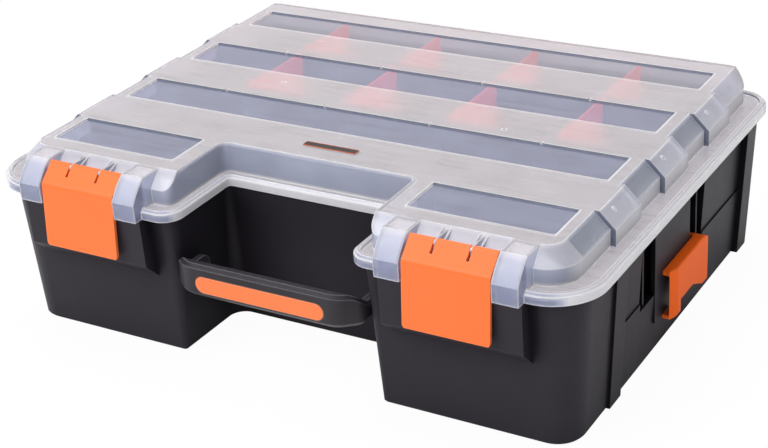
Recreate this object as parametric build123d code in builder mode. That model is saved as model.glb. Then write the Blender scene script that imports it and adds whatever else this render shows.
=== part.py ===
"""Workshop organizer case: a drafted tub with a handle bay, a hinged lid with clear panes,
two latches, a swinging grip, sliding side clips and loose dividers.

Millimetres. X runs along the front, Y towards the back, Z up. The origin is under the middle
of the whole case, on the surface it stands on.
"""

import os
from math import radians, tan

from build123d import *

os.makedirs("parts", exist_ok=True)

# Tub
front_y = -134.65  # front edge of the bottom
case_depth = 267.0  # bottom, front to back
case_width = 364.8  # bottom, side to side
tub_height = 92.7
tub_wall = 2.2
tub_floor = 2.2
tub_draft = 3.2  # degrees, walls lean outwards
front_corner = 16.0
back_corner = 8.0
foot_chamfer = 1.2
flange_thick = 2.8

# Handle bay in the front of the tub
bay_mouth_width = 134.4
bay_root_width = 132.0
bay_depth = 53.8
bay_lip_round = 3.0
bay_nook_round = 9.0

# Rows of compartments
bin_depth = 72.0  # front edge of the bottom to the first partition
row_pitch = 69.3
row_count = 3
partition_wall = 1.8
partition_height = 107.0
trough_half = 65.0
divider_pitch = 72.7
divider_columns = 4
divider_rows = 2  # rows that have dividers, from the back
divider_wall = 1.6
divider_height = 107.0
divider_round = 3.0
divider_play = 0.2
slot_rib_wall = 1.2
slot_rib_proud = 1.6
slot_rib_height = 98.0

# Lid rim
lid_width = 390.0
lid_top = 113.9
lid_wall = 2.0
rim_bottom = 90.2
rim_top = 95.0
rim_front = 11.4  # overhang beyond the front edge of the bottom
rim_back = 13.0
rim_bay_half = 57.3
rim_bay_setback = 7.4
rim_corner = 30.0
rim_back_corner = 20.0
rim_lip_round = 12.0
rim_nook_round = 2.5
bead_inset = 0.8
bead_width = 4.0
bead_height = 1.7
bead_taper = 30.0  # degrees
seat_gap = 0.3
skirt_gap = 0.4

# Dome of the lid
shelf_side = 14.3  # rim edge to the dome
shelf_front = 11.5
shelf_back = 6.0
shelf_bay = 8.0
slope_rise = 9.4  # 45 degree slope along the front and sides
dome_back_corner = 14.0
dome_lip_round = 6.0
dome_nook_round = 6.0
band_step = 2.8  # how far the side bands stand out
band_length = 35.0
pane_half_width = 163.3
pane_setback = 19.3  # partition to pane
pane_depth = 31.0
back_pane_depth = 27.4
pane_sink = 1.0
pane_round = 2.6
bin_pane_width = 87.0
bin_pane_x = 120.8
bin_pane_y = 36.8
tick_width = 1.6
tick_length = 1.8
badge_width = 36.0
badge_depth = 5.6
badge_thick = 0.8
badge_sink = 0.5
badge_y = 70.8

# Latches, their ears and the cheeks beside them
latch_x = 119.9
latch_width = 51.6
latch_thick = 2.0
latch_bottom = 63.9
latch_reach = 19.0  # forward of the front edge, at the bottom
latch_fold_reach = 15.9
latch_fold_height = 102.8
latch_corner = 3.0
pivot_reach = 4.8
pivot_height = 110.6
barrel_radius = 2.0
rod_radius = 1.0
rod_fit = 0.06
ear_wall = 1.0
ear_radius = 1.95
ear_spacing = 21.2
ear_slot = 1.5
ear_slot_length = 6.2
slot_eye_radius = 1.0
hem = 2.0  # plate beyond the pivot
gusset_wall = 0.9
gusset_offset = 2.3
gusset_gap = 1.2
gusset_drop = 4.0
latch_side_gap = 1.0
cheek_width = 15.1
cheek_reach = 17.5
cheek_brow_reach = 5.5
cheek_knee = 101.0
cheek_bulge = 0.7
hook_width = 26.0
hook_height = 73.2
hook_proud = 0.8
keeper_height = 77.3
keeper_proud = 1.0
boss_reach = 14.2
boss_lean = 0.8
boss_crease = 60.0
boss_toe = 50.0

# Grip in the handle bay
grip_half = 61.6
grip_flat_half = 50.0
grip_reach = 14.6  # forward of the front edge
grip_end_reach = 4.5
grip_bottom = 49.5
grip_top = 70.5
grip_ridge = 69.0
grip_back = -1.4
grip_edge = 2.4
arm_wall = 6.0
arm_radius = 6.5
grip_pivot_y = 11.0
grip_pivot_z = 54.0
grip_pin_radius = 3.0
grip_pin_length = 5.2
grip_pin_fit = 0.08
socket_wall = 2.6
socket_depth = 5.0
inlay_length = 85.0
inlay_height = 10.4
inlay_z = 58.2
inlay_thick = 1.5
inlay_proud = 0.3
inlay_play = 0.1

# Side walls: posts, relief between them, rail and clip
relief_depth = 0.8
relief_front = 60.0
relief_back = 245.0
ledge_height = 44.0
front_post_width = 15.0
front_post_proud = 1.7
back_post_proud = 3.3
rail_y = 134.0
clip_front = 118.0
clip_length = 58.5
clip_bottom = 18.5
clip_height = 31.0
clip_reach = 192.0
clip_wall = 2.6
clip_bevel = 7.0  # length of the bevel at both ends of the plate
clip_top_corner = 10.0
clip_foot_corner = 3.5
clip_leg = 11.8  # front end to the notch
clip_notch_rise = 8.3
clip_notch_length = 19.3
clip_notch_slope = 18.0
clip_gap = 0.3
hook_length = 3.0
hook_thick = 1.9
pad_reach = 185.0
pad_half = 26.7
pad_wall = 2.7
pad_bottom = 21.0
groove_width = 21.4
groove_bottom = 39.2
clip_groove_bottom = 22.0
groove_depth = 6.5
head_lip = 3.6
guide_rib_width = 2.0
guide_rib_proud = 5.0
guide_rib_offset = 6.0

# Hinge at the back
hinge_x = 115.0
hinge_width = 31.0
hinge_ear_wall = 6.0
hinge_play = 0.5
knuckle_radius = 4.0
knuckle_gap = 0.3
hinge_z = 89.0
hinge_root = 70.0
hinge_pin_radius = 1.5
hinge_pin_inset = 0.4
hinge_pin_fit = 0.05

# Places that follow from the sizes above
sides = (-1, 1)
half_width = case_width / 2
back_y = front_y + case_depth
bay_y = front_y + bay_depth
spread = tan(radians(tub_draft))
flange_bottom = tub_height - flange_thick
rim_half = lid_width / 2
rim_front_y = front_y - rim_front
rim_back_y = back_y + rim_back
rim_bay_y = bay_y - rim_bay_setback
band_half = rim_half - shelf_side + band_step
hinge_y = rim_back_y + knuckle_gap + knuckle_radius
pivot_y = front_y - pivot_reach
cheek_span = latch_width + 2 * (latch_side_gap + cheek_width)
clip_mid_y = front_y + clip_front + clip_length / 2
rail_mid_y = front_y + rail_y
partition_ys = [front_y + bin_depth + row * row_pitch for row in range(row_count)]
column_xs = [(column - (divider_columns - 1) / 2) * divider_pitch for column in range(divider_columns)]
groove_end = pad_half + groove_width
groove_bottoms = {-1: groove_bottom, 1: clip_groove_bottom}  # front and back groove
groove_floor = pad_reach - groove_depth


def plan(half, front, back, mouth, root, bay, rounds):
    """Face of the case from above: a rectangle with the handle bay cut into its front."""
    rear, corner, lip, nook = rounds
    with BuildLine() as outline:
        FilletPolyline(
            (-half, back), (-half, front), (-mouth, front), (-root, bay),
            (root, bay), (mouth, front), (half, front), (half, back),
            radius=[rear, corner, lip, nook, nook, lip, corner, rear],
            close=True,
        )
    make_face(outline.edges())


def tub_plan(inset):
    """Bottom outline of the tub, moved inwards by an inset."""
    plan(
        half_width - inset, front_y + inset, back_y - inset,
        bay_mouth_width / 2 + inset, bay_root_width / 2 + inset, bay_y + inset,
        (back_corner - inset, front_corner - inset, bay_lip_round - inset, bay_nook_round + inset),
    )


def rim_plan(inset):
    """Outline of the lid's rim, moved inwards by an inset."""
    plan(
        rim_half - inset, rim_front_y + inset, rim_back_y - inset,
        rim_bay_half + inset, rim_bay_half + inset, rim_bay_y + inset,
        (rim_back_corner - inset, rim_corner - inset, rim_lip_round - inset, rim_nook_round + inset),
    )


def dome_plan(inset):
    """Outline of the lid's dome at its side recesses, moved inwards by an inset."""
    bay_half = rim_bay_half + shelf_bay + inset
    plan(
        rim_half - shelf_side - inset, rim_front_y + shelf_front + inset,
        rim_back_y - shelf_back - inset, bay_half, bay_half, rim_bay_y + shelf_bay + inset,
        (dome_back_corner - inset, rim_corner - shelf_front - inset,
         max(dome_lip_round - inset, 1.0), dome_nook_round + inset),
    )


def run_x(points, centre, length, rounds=None):
    """Outline drawn in Y and Z and run along X about a centre, with a round for each corner."""
    with BuildPart(mode=Mode.PRIVATE) as run:
        with BuildSketch(Plane.YZ.offset(centre)):
            with BuildLine():
                FilletPolyline(*points, radius=rounds or [0] * len(points), close=True)
            make_face()
        extrude(amount=length / 2, both=True)
    return run.part


def run_y(points, centre, length, rounds=None):
    """Outline drawn in X and Z and run along Y about a centre, with a round for each corner."""
    with BuildPart(mode=Mode.PRIVATE) as run:
        with BuildSketch(Plane.XZ.offset(-centre)):
            with BuildLine():
                FilletPolyline(*points, radius=rounds or [0] * len(points), close=True)
            make_face()
        extrude(amount=length / 2, both=True)
    return run.part


def block(x_range, y_range, z_range):
    """Box between two values on each axis, given in either order."""
    spans = [sorted(span) for span in (x_range, y_range, z_range)]
    sizes = [high - low for low, high in spans]
    return Pos(*[low for low, high in spans]) * Box(*sizes, align=Align.MIN, mode=Mode.PRIVATE)


def rod(y, z, radius, x_range):
    """Round bar along X between two values of X, given in either order."""
    low, high = sorted(x_range)
    return Pos((low + high) / 2, y, z) * Rot(0, 90, 0) * Cylinder(radius, high - low, mode=Mode.PRIVATE)


def dome(inset, bottom):
    """Solid dome of the lid with sloped front and sides, shrunk all round by an inset."""
    top = lid_top - inset
    knee = lid_top - slope_rise - inset * tan(radians(22.5))
    rise = top - knee
    half = rim_half - shelf_side - inset
    front = rim_front_y + shelf_front + inset
    corner = rim_corner - shelf_front - inset
    with BuildPart(mode=Mode.PRIVATE) as shape:
        with BuildSketch(Plane.XY.offset(bottom)):
            dome_plan(inset)
        extrude(amount=top - bottom)
        with BuildPart(mode=Mode.PRIVATE) as sloped:
            with BuildSketch(Plane.XY.offset(knee)):
                with BuildLine():
                    FilletPolyline(
                        (-half, rim_back_y + slope_rise), (-half, front),
                        (half, front), (half, rim_back_y + slope_rise),
                        radius=[0, corner, corner, 0], close=True,
                    )
                make_face()
            extrude(amount=rise, taper=45)
        add(block((-rim_half, rim_half), (rim_front_y, rim_back_y), (bottom, knee)) + sloped.part,
            mode=Mode.INTERSECT)
        for y in partition_ys:
            for side in sides:
                add(band(y, side, inset, knee, bottom))
    return shape.part


def band(y, side, inset, knee, bottom):
    """One raised band, where the side of the dome stands further out over a partition."""
    half = band_half - inset
    top = lid_top - inset
    root = half - 2 * slope_rise
    outline = [(root, bottom), (half, bottom), (half, knee), (half - top + knee, top), (root, top)]
    return run_y([(side * x, z) for x, z in outline], y, band_length - 2 * inset)


def side_face(depth, z):
    """Half width of the tub at a height, moved inwards by a depth."""
    return half_width - depth + spread * z


def relief(side):
    """What the shallow relief above the ledge takes off a side wall."""
    middle = front_y + (relief_front + relief_back) / 2
    outline = [
        (side_face(relief_depth, ledge_height), ledge_height),
        (side_face(relief_depth, flange_bottom), flange_bottom),
        (rim_half, flange_bottom), (rim_half, ledge_height),
    ]
    return run_y([(side * x, z) for x, z in outline], middle, relief_back - relief_front)


def post(side, front, back, proud):
    """Upright post that stands out of a side wall."""
    outline = [
        (side_face(tub_wall, 0), 0), (side_face(-proud, 0), 0),
        (side_face(-proud, flange_bottom), flange_bottom), (side_face(tub_wall, flange_bottom), flange_bottom),
    ]
    return run_y([(side * x, z) for x, z in outline], front_y + (front + back) / 2, back - front)


def relief_lining(side):
    """What the side wall keeps inside, behind the relief."""
    depth = relief_depth + tub_wall
    middle = front_y + (relief_front + relief_back) / 2
    outline = [
        (side_face(depth, 0), 0), (side_face(depth, tub_height), tub_height),
        (rim_half, tub_height), (rim_half, 0),
    ]
    return run_y([(side * x, z) for x, z in outline], middle, relief_back - relief_front + 2 * tub_wall)


def latch_boss(side):
    """Bulge of the front wall under a latch."""
    reach = front_y - boss_reach
    return run_x(
        [(front_y + tub_wall, flange_bottom), (reach, flange_bottom), (reach + boss_lean, boss_crease),
         (front_y - spread * boss_toe, boss_toe), (front_y + tub_wall, boss_toe)],
        side * latch_x, cheek_span, [0, 0, 3.0, 0, 0],
    )


def latch_boss_room(side):
    """Hollow of the bulge, open to the inside of the tub."""
    reach = front_y - boss_reach + tub_wall
    top = flange_bottom - tub_wall
    crease = boss_crease + 1.0
    fall = (boss_crease - boss_toe) / (boss_reach - boss_lean - spread * boss_toe)
    run_in = front_y + tub_wall + 1.0
    return run_x(
        [(run_in, top), (reach, top), (reach + boss_lean, crease),
         (run_in, crease - fall * (run_in - reach - boss_lean))],
        side * latch_x, cheek_span - 2 * tub_wall,
    )


# Room inside the tub
with BuildPart() as tub_room:
    with BuildSketch(Plane.XY.offset(tub_floor)):
        tub_plan(tub_wall)
    extrude(amount=tub_height - tub_floor, taper=-tub_draft)
    for side in sides:
        add(relief_lining(side), mode=Mode.SUBTRACT)
        lining_x = (side * (groove_floor - tub_wall), side * rim_half)
        lining_half = groove_end + tub_wall
        for end in sides:
            add(block(lining_x, (rail_mid_y, rail_mid_y + end * lining_half),
                      (groove_bottoms[end] - 2 * tub_wall, tub_height)), mode=Mode.SUBTRACT)
        core_x = (side * (groove_floor - tub_wall - 1), side * (pad_reach - pad_wall))
        core_half = pad_half - head_lip - tub_wall
        add(block(core_x, (rail_mid_y - core_half, rail_mid_y + core_half),
                  (groove_bottom - tub_wall, tub_height)))
        add(latch_boss_room(side))

# Space that partitions and dividers may fill, up to the inside of the lid
with BuildPart() as envelope:
    add(tub_room.part)
    add(dome(lid_wall + 1.2, tub_height))

# Fixed partitions between the rows, with a pair of ribs on each side of a divider
slot_reach = divider_wall / 2 + divider_play + slot_rib_wall / 2
for row, y in enumerate(partition_ys, start=1):
    with BuildPart() as partition:
        add(block((-rim_half, rim_half), (y - partition_wall / 2, y + partition_wall / 2),
                  (tub_floor, partition_height)))
        for x in column_xs:
            for end in sides:
                ribs_from = y if row == 1 else y - partition_wall / 2 - slot_rib_proud
                rib_x = x + end * slot_reach
                add(block((rib_x - slot_rib_wall / 2, rib_x + slot_rib_wall / 2),
                          (ribs_from, y + partition_wall / 2 + slot_rib_proud), (tub_floor, slot_rib_height)))
        add(envelope.part, mode=Mode.INTERSECT)
    name = f"row_partition_{row}"
    partition.part.label = name
    export_step(partition.part, f"parts/{name}.step")

# Fixed partitions beside the handle bay
for side in sides:
    with BuildPart() as partition:
        add(block((side * trough_half - partition_wall / 2, side * trough_half + partition_wall / 2),
                  (bay_y - 6, partition_ys[0] - partition_wall / 2), (tub_floor, partition_height)))
        add(envelope.part, mode=Mode.INTERSECT)
    name = "bay_partition_left" if side < 0 else "bay_partition_right"
    partition.part.label = name
    export_step(partition.part, f"parts/{name}.step")

# Tub with its side rails, posts, latch bosses, hinge ears and the ribs at its back wall
with BuildPart() as base_tub:
    with BuildSketch(Plane.XY.offset(foot_chamfer)):
        tub_plan(-spread * foot_chamfer)
    extrude(amount=flange_bottom - foot_chamfer, taper=-tub_draft)
    with BuildSketch(Plane.XY.offset(foot_chamfer)):
        tub_plan(-spread * foot_chamfer)
    extrude(amount=-foot_chamfer, taper=45)
    for side in sides:
        add(relief(side), mode=Mode.SUBTRACT)
        add(post(side, relief_front - front_post_width, relief_front, front_post_proud))
        with BuildPart(mode=Mode.PRIVATE) as back_post:
            with BuildSketch():
                outer = half_width + back_post_proud
                with BuildLine():
                    FilletPolyline((-outer, back_y), (-outer, 0), (outer, 0), (outer, back_y),
                                   radius=[back_corner, 0, 0, back_corner], close=True)
                make_face()
            extrude(amount=flange_bottom, taper=-tub_draft)
            add(post(side, relief_back, case_depth + 2 * back_post_proud, back_post_proud), mode=Mode.INTERSECT)
        add(back_post.part)
        add(latch_boss(side))
        add(block((side * groove_floor, side * pad_reach),
                  (rail_mid_y - pad_half, rail_mid_y + pad_half), (pad_bottom, flange_bottom)))
        add(block((side * pad_reach, side * rim_half), (rail_mid_y - groove_end, rail_mid_y + groove_end),
                  (pad_bottom, flange_bottom)), mode=Mode.SUBTRACT)
        for end in sides:
            groove_z = (groove_bottoms[end], flange_bottom)
            groove_y = (rail_mid_y + end * pad_half, rail_mid_y + end * groove_end)
            under_y = (rail_mid_y + end * pad_half, rail_mid_y + end * (pad_half - head_lip))
            under_x = (side * groove_floor, side * (pad_reach - pad_wall))
            rib_y = rail_mid_y + end * (groove_end - guide_rib_offset)
            rib_x = (side * groove_floor, side * (groove_floor + guide_rib_proud))
            add(block((side * groove_floor, side * rim_half), groove_y, groove_z), mode=Mode.SUBTRACT)
            add(block(under_x, under_y, groove_z), mode=Mode.SUBTRACT)
            add(block(rib_x, (rib_y, rib_y - end * guide_rib_width), groove_z))
    with BuildSketch(Plane.XY.offset(flange_bottom)):
        rim_plan(lid_wall + skirt_gap)
    extrude(amount=flange_thick)
    add(tub_room.part, mode=Mode.SUBTRACT)
    for side in sides:
        add(run_x(
            [(front_y, keeper_height + 1.6), (front_y - boss_reach + 0.3 - keeper_proud, keeper_height + 0.6),
             (front_y - boss_reach + 0.3 - keeper_proud, keeper_height - 0.6), (front_y, keeper_height - 1.6)],
            side * latch_x, hook_width + 4))
        socket_x = side * (trough_half + socket_depth)
        add(rod(front_y + grip_pivot_y, grip_pivot_z, grip_pin_radius + grip_pin_fit + socket_wall,
                (side * trough_half, socket_x)))
        add(rod(front_y + grip_pivot_y, grip_pivot_z, grip_pin_radius + grip_pin_fit,
                (side * grip_half, socket_x - side * tub_wall)), mode=Mode.SUBTRACT)
        for end in sides:
            ear_x = side * hinge_x + end * (hinge_width - hinge_ear_wall) / 2
            add(run_x(
                [(back_y - 1, hinge_root), (hinge_y + 0.7, hinge_z - knuckle_radius + 0.1),
                 (hinge_y + 0.7, hinge_z + 0.5), (back_y - 1, hinge_z + 0.5)],
                ear_x, hinge_ear_wall))
            add(rod(hinge_y, hinge_z, knuckle_radius,
                    (ear_x - hinge_ear_wall / 2, ear_x + hinge_ear_wall / 2)))
        add(rod(hinge_y, hinge_z, hinge_pin_radius + hinge_pin_fit,
                (side * hinge_x - hinge_width, side * hinge_x + hinge_width)), mode=Mode.SUBTRACT)
    with BuildPart(mode=Mode.PRIVATE) as back_ribs:
        for x in column_xs:
            for end in sides:
                rib_front = back_y - tub_wall - slot_rib_proud
                add(run_x(
                    [(rib_front, tub_floor), (rib_front + spread * tub_height, tub_height),
                     (rim_back_y, tub_height), (rim_back_y, tub_floor)],
                    x + end * slot_reach, slot_rib_wall))
        add(envelope.part, mode=Mode.INTERSECT)
    add(back_ribs.part)
base_tub.part.label = "base_tub"
export_step(base_tub.part, "parts/base_tub.step")


def cheek(side, end, inset):
    """Block beside a latch with a bowed brow; with an inset it is the hollow behind its skin."""
    width = cheek_width - 2 * inset
    centre = side * latch_x + end * (cheek_span - cheek_width) / 2
    reach = front_y - cheek_reach + inset
    brow = (front_y - cheek_brow_reach + inset * 0.4, lid_top - inset)
    knee = (reach, cheek_knee - inset * 0.4)
    middle = ((brow[0] + knee[0]) / 2 - cheek_bulge, (brow[1] + knee[1]) / 2 + cheek_bulge)
    dome_front = rim_front_y + shelf_front
    dome_knee = lid_top - slope_rise
    if inset:
        rear = [(dome_front + slope_rise - inset, lid_top - inset), (dome_front, dome_knee),
                (dome_front, rim_top), (rim_front_y, rim_top), (rim_front_y, rim_bottom - 1)]
        foot = (reach, rim_bottom - 1)
    else:
        rear = [(dome_front + slope_rise + 1, lid_top), (dome_front + slope_rise + 1, rim_top - 1),
                (rim_front_y + 1, rim_top - 1), (rim_front_y + 1, rim_bottom)]
        foot = (reach, rim_bottom)
    with BuildPart(mode=Mode.PRIVATE) as shape:
        with BuildSketch(Plane.YZ.offset(centre)):
            with BuildLine():
                Polyline(brow, *rear, foot, knee)
                ThreePointArc(knee, middle, brow)
            make_face()
        extrude(amount=width / 2, both=True)
    return shape.part


def pane_sketch():
    """All five panes of the lid."""
    spots = []
    for row, y in enumerate(partition_ys):
        depth = back_pane_depth if row == row_count - 1 else pane_depth
        spots.append((0, y + pane_setback + depth / 2, 2 * pane_half_width, depth))
    for side in sides:
        spots.append((side * bin_pane_x, front_y + bin_pane_y, bin_pane_width, pane_depth))
    for x, y, width, depth in spots:
        with Locations((x, y)):
            RectangleRounded(width, depth, pane_round)


# Lid
with BuildPart() as lid:
    with BuildSketch(Plane.XY.offset(rim_bottom)):
        rim_plan(0)
    extrude(amount=rim_top - rim_bottom)
    with BuildPart(mode=Mode.PRIVATE) as bead:
        with BuildSketch(Plane.XY.offset(rim_top)):
            rim_plan(bead_inset)
        extrude(amount=bead_height, taper=bead_taper)
        with BuildSketch(Plane.XY.offset(rim_top)):
            rim_plan(bead_inset + bead_width)
        extrude(amount=bead_height, taper=-bead_taper, mode=Mode.SUBTRACT)
    add(bead.part)
    add(dome(0, rim_top - lid_wall / 2))
    for side in sides:
        for end in sides:
            add(cheek(side, end, 0))
    with BuildSketch(Plane.XY.offset(lid_top)):
        pane_sketch()
        for row, y in enumerate(partition_ys[:-1]):
            with Locations(*[(x, y + pane_setback + pane_depth) for x in column_xs]):
                Rectangle(tick_width, 2 * tick_length)
    extrude(amount=-pane_sink, mode=Mode.SUBTRACT)
    with BuildSketch(Plane.XY.offset(rim_bottom)):
        rim_plan(lid_wall)
    extrude(amount=rim_top - lid_wall - rim_bottom, mode=Mode.SUBTRACT)
    lid_room = dome(lid_wall, rim_bottom)
    add(lid_room, mode=Mode.SUBTRACT)
    for side in sides:
        for end in sides:
            add(cheek(side, end, lid_wall), mode=Mode.SUBTRACT)
            ear_x = side * latch_x + end * ear_spacing / 2
            slope_end = rim_front_y + shelf_front + slope_rise
            add(run_x(
                [(pivot_y - ear_radius, pivot_height - ear_radius), (slope_end, pivot_height - ear_radius),
                 (slope_end, pivot_height + ear_radius), (pivot_y - ear_radius, pivot_height + ear_radius)],
                ear_x, ear_wall, [ear_radius * 0.98, 0, 0, ear_radius * 0.98]))
            for flank in sides:
                gusset_front = pivot_y + barrel_radius + gusset_gap
                add(run_x(
                    [(gusset_front, lid_top - slope_rise), (slope_end, lid_top - slope_rise),
                     (slope_end, lid_top - 0.5), (gusset_front, lid_top - gusset_drop)],
                    ear_x + flank * gusset_offset, gusset_wall))
        add(lid_room, mode=Mode.SUBTRACT)
        add(rod(pivot_y, pivot_height, rod_radius + rod_fit,
                (side * latch_x - ear_spacing, side * latch_x + ear_spacing)), mode=Mode.SUBTRACT)
        leaf_half = hinge_width / 2 - hinge_ear_wall - hinge_play
        add(run_x(
            [(rim_back_y - 1, rim_bottom), (rim_back_y - 1, rim_top), (rim_back_y + 1, rim_top),
             (hinge_y + 2.8, hinge_z + 2.8), (hinge_y, hinge_z)],
            side * hinge_x, 2 * leaf_half))
        add(rod(hinge_y, hinge_z, knuckle_radius, (side * hinge_x - leaf_half, side * hinge_x + leaf_half)))
        add(rod(hinge_y, hinge_z, hinge_pin_radius + hinge_pin_fit,
                (side * hinge_x - hinge_width, side * hinge_x + hinge_width)), mode=Mode.SUBTRACT)
    with Locations((0, front_y + badge_y, lid_top)):
        Box(badge_width, badge_depth, 2 * badge_sink, mode=Mode.SUBTRACT)
lid.part.label = "lid"
export_step(lid.part, "parts/lid.step")

# Blank plate in its recess on the lid
with BuildPart() as lid_badge:
    with Locations((0, front_y + badge_y, lid_top - badge_sink)):
        Box(badge_width - 0.2, badge_depth - 0.2, badge_thick, align=(Align.CENTER, Align.CENTER, Align.MIN))
    fillet(lid_badge.edges().filter_by(Axis.Z), 0.8)
lid_badge.part.label = "lid_badge"
export_step(lid_badge.part, "parts/lid_badge.step")


def folded_plate(points, thick):
    """Outline of a folded plate: the points of its outer face, then those of its inner face."""
    outer = [Vector(*point) for point in points]
    inner = []
    for index, point in enumerate(outer):
        before = outer[max(index - 1, 0)]
        after = outer[min(index + 1, len(outer) - 1)]
        into = (point - before) if index else (after - point)
        out_of = (after - point) if index < len(outer) - 1 else (point - before)
        normals = [Vector(-step.Y, step.X).normalized() for step in (into, out_of)]
        total = normals[0] + normals[1]
        inner.append(point + total * (2 * thick / total.dot(total)))
    return [(point.X, point.Y) for point in outer + inner[::-1]]


# Latches
for side in sides:
    lean = Vector(front_y - latch_fold_reach, latch_fold_height)
    pivot = Vector(pivot_y, pivot_height)
    span = lean - pivot
    top = pivot + Vector(span.Y, -span.X).normalized() * barrel_radius - span.normalized() * hem
    plate_points = folded_plate(
        [(top.X, top.Y), (lean.X, lean.Y), (front_y - latch_reach, latch_bottom)], latch_thick)
    with BuildPart() as latch:
        add(run_x(plate_points, side * latch_x, latch_width, [0.5, 4.0, 0.8, 0.8, 2.0, 0.5]))
        left, right = side * latch_x - latch_width / 2, side * latch_x + latch_width / 2
        add(run_y([(left, latch_bottom - 1), (right, latch_bottom - 1), (right, lid_top), (left, lid_top)],
                  front_y, 2 * latch_reach + 2, [latch_corner + 1, latch_corner + 1, 0, 0]),
            mode=Mode.INTERSECT)
        add(rod(pivot_y, pivot_height, barrel_radius,
                (side * latch_x - latch_width / 2, side * latch_x + latch_width / 2)))
        for end in sides:
            slot_x = side * latch_x + end * ear_spacing / 2
            with BuildSketch(Plane((slot_x, pivot.X, pivot.Y), x_dir=(0, span.X, span.Y), z_dir=(0, span.Y, -span.X))):
                Rectangle(2 * ear_slot_length, ear_slot)
                with Locations((ear_slot_length, 0)):
                    RegularPolygon(slot_eye_radius, 8)
            extrude(amount=barrel_radius + latch_thick, both=True, mode=Mode.SUBTRACT)
        add(rod(pivot_y, pivot_height, rod_radius,
                (side * latch_x - ear_spacing / 2 - 2, side * latch_x + ear_spacing / 2 + 2)))
        hook_y = front_y - latch_reach + latch_thick + (hook_height - latch_bottom) * (
            latch_reach - latch_fold_reach) / (latch_fold_height - latch_bottom)
        add(run_x(
            [(hook_y - 1, hook_height - 1.8), (hook_y + hook_proud, hook_height - 0.8),
             (hook_y + hook_proud, hook_height + 0.8), (hook_y - 1, hook_height + 1.8)],
            side * latch_x, hook_width))
    name = "latch_left" if side < 0 else "latch_right"
    latch.part.label = name
    export_step(latch.part, f"parts/{name}.step")

# Grip with its arms and pins
with BuildPart() as handle_grip:
    arm_back = front_y + grip_pivot_y + arm_radius
    inner_half = grip_half - arm_wall
    bar_back = front_y + grip_back
    with BuildSketch(Plane.XY.offset(grip_bottom)):
        with BuildLine():
            FilletPolyline(
                (-grip_half, arm_back), (-grip_half, front_y - grip_end_reach),
                (-grip_flat_half, front_y - grip_reach), (grip_flat_half, front_y - grip_reach),
                (grip_half, front_y - grip_end_reach), (grip_half, arm_back),
                (inner_half, arm_back), (inner_half, bar_back), (-inner_half, bar_back), (-inner_half, arm_back),
                radius=[0, 7, 16, 16, 7, 0, 0, 4, 4, 0], close=True)
        make_face()
    extrude(amount=grip_top - grip_bottom)
    arm_front = bar_back + 5
    add(run_x(
        [(front_y - grip_reach - 1, grip_bottom), (bar_back, grip_bottom),
         (arm_front, grip_pivot_z - arm_radius), (arm_back, grip_pivot_z - arm_radius),
         (arm_back, grip_pivot_z + arm_radius), (arm_front, grip_pivot_z + arm_radius),
         (bar_back - 6, grip_ridge), (front_y - grip_reach - 1, grip_top)],
        0, 2 * grip_half, [0, 3, 3, arm_radius * 0.98, arm_radius * 0.98, 3, 2, 0]), mode=Mode.INTERSECT)
    front_edges = handle_grip.edges().filter_by(
        lambda edge: edge.center().Y < front_y - grip_end_reach - 1 and abs((edge @ 1 - edge @ 0).Z) < 1)
    chamfer(front_edges, grip_edge)
    for side in sides:
        add(rod(front_y + grip_pivot_y, grip_pivot_z, grip_pin_radius,
                (side * (grip_half - 1), side * (grip_half + grip_pin_length))))
    with BuildSketch(Plane((0, front_y - grip_reach - 1, inlay_z), x_dir=(1, 0, 0), z_dir=(0, 1, 0))):
        SlotOverall(inlay_length + 2 * inlay_play, inlay_height + 2 * inlay_play)
    extrude(amount=1 + inlay_thick - inlay_proud, mode=Mode.SUBTRACT)
handle_grip.part.label = "handle_grip"
export_step(handle_grip.part, "parts/handle_grip.step")

# Inlay of the grip
with BuildPart() as handle_inlay:
    inlay_face = front_y - grip_reach - inlay_proud
    with BuildSketch(Plane((0, inlay_face, inlay_z), x_dir=(1, 0, 0), z_dir=(0, 1, 0))):
        SlotOverall(inlay_length, inlay_height)
    extrude(amount=inlay_thick)
    chamfer(handle_inlay.faces().sort_by(Axis.Y)[0].edges(), inlay_proud)
handle_inlay.part.label = "handle_inlay"
export_step(handle_inlay.part, "parts/handle_inlay.step")

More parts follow.
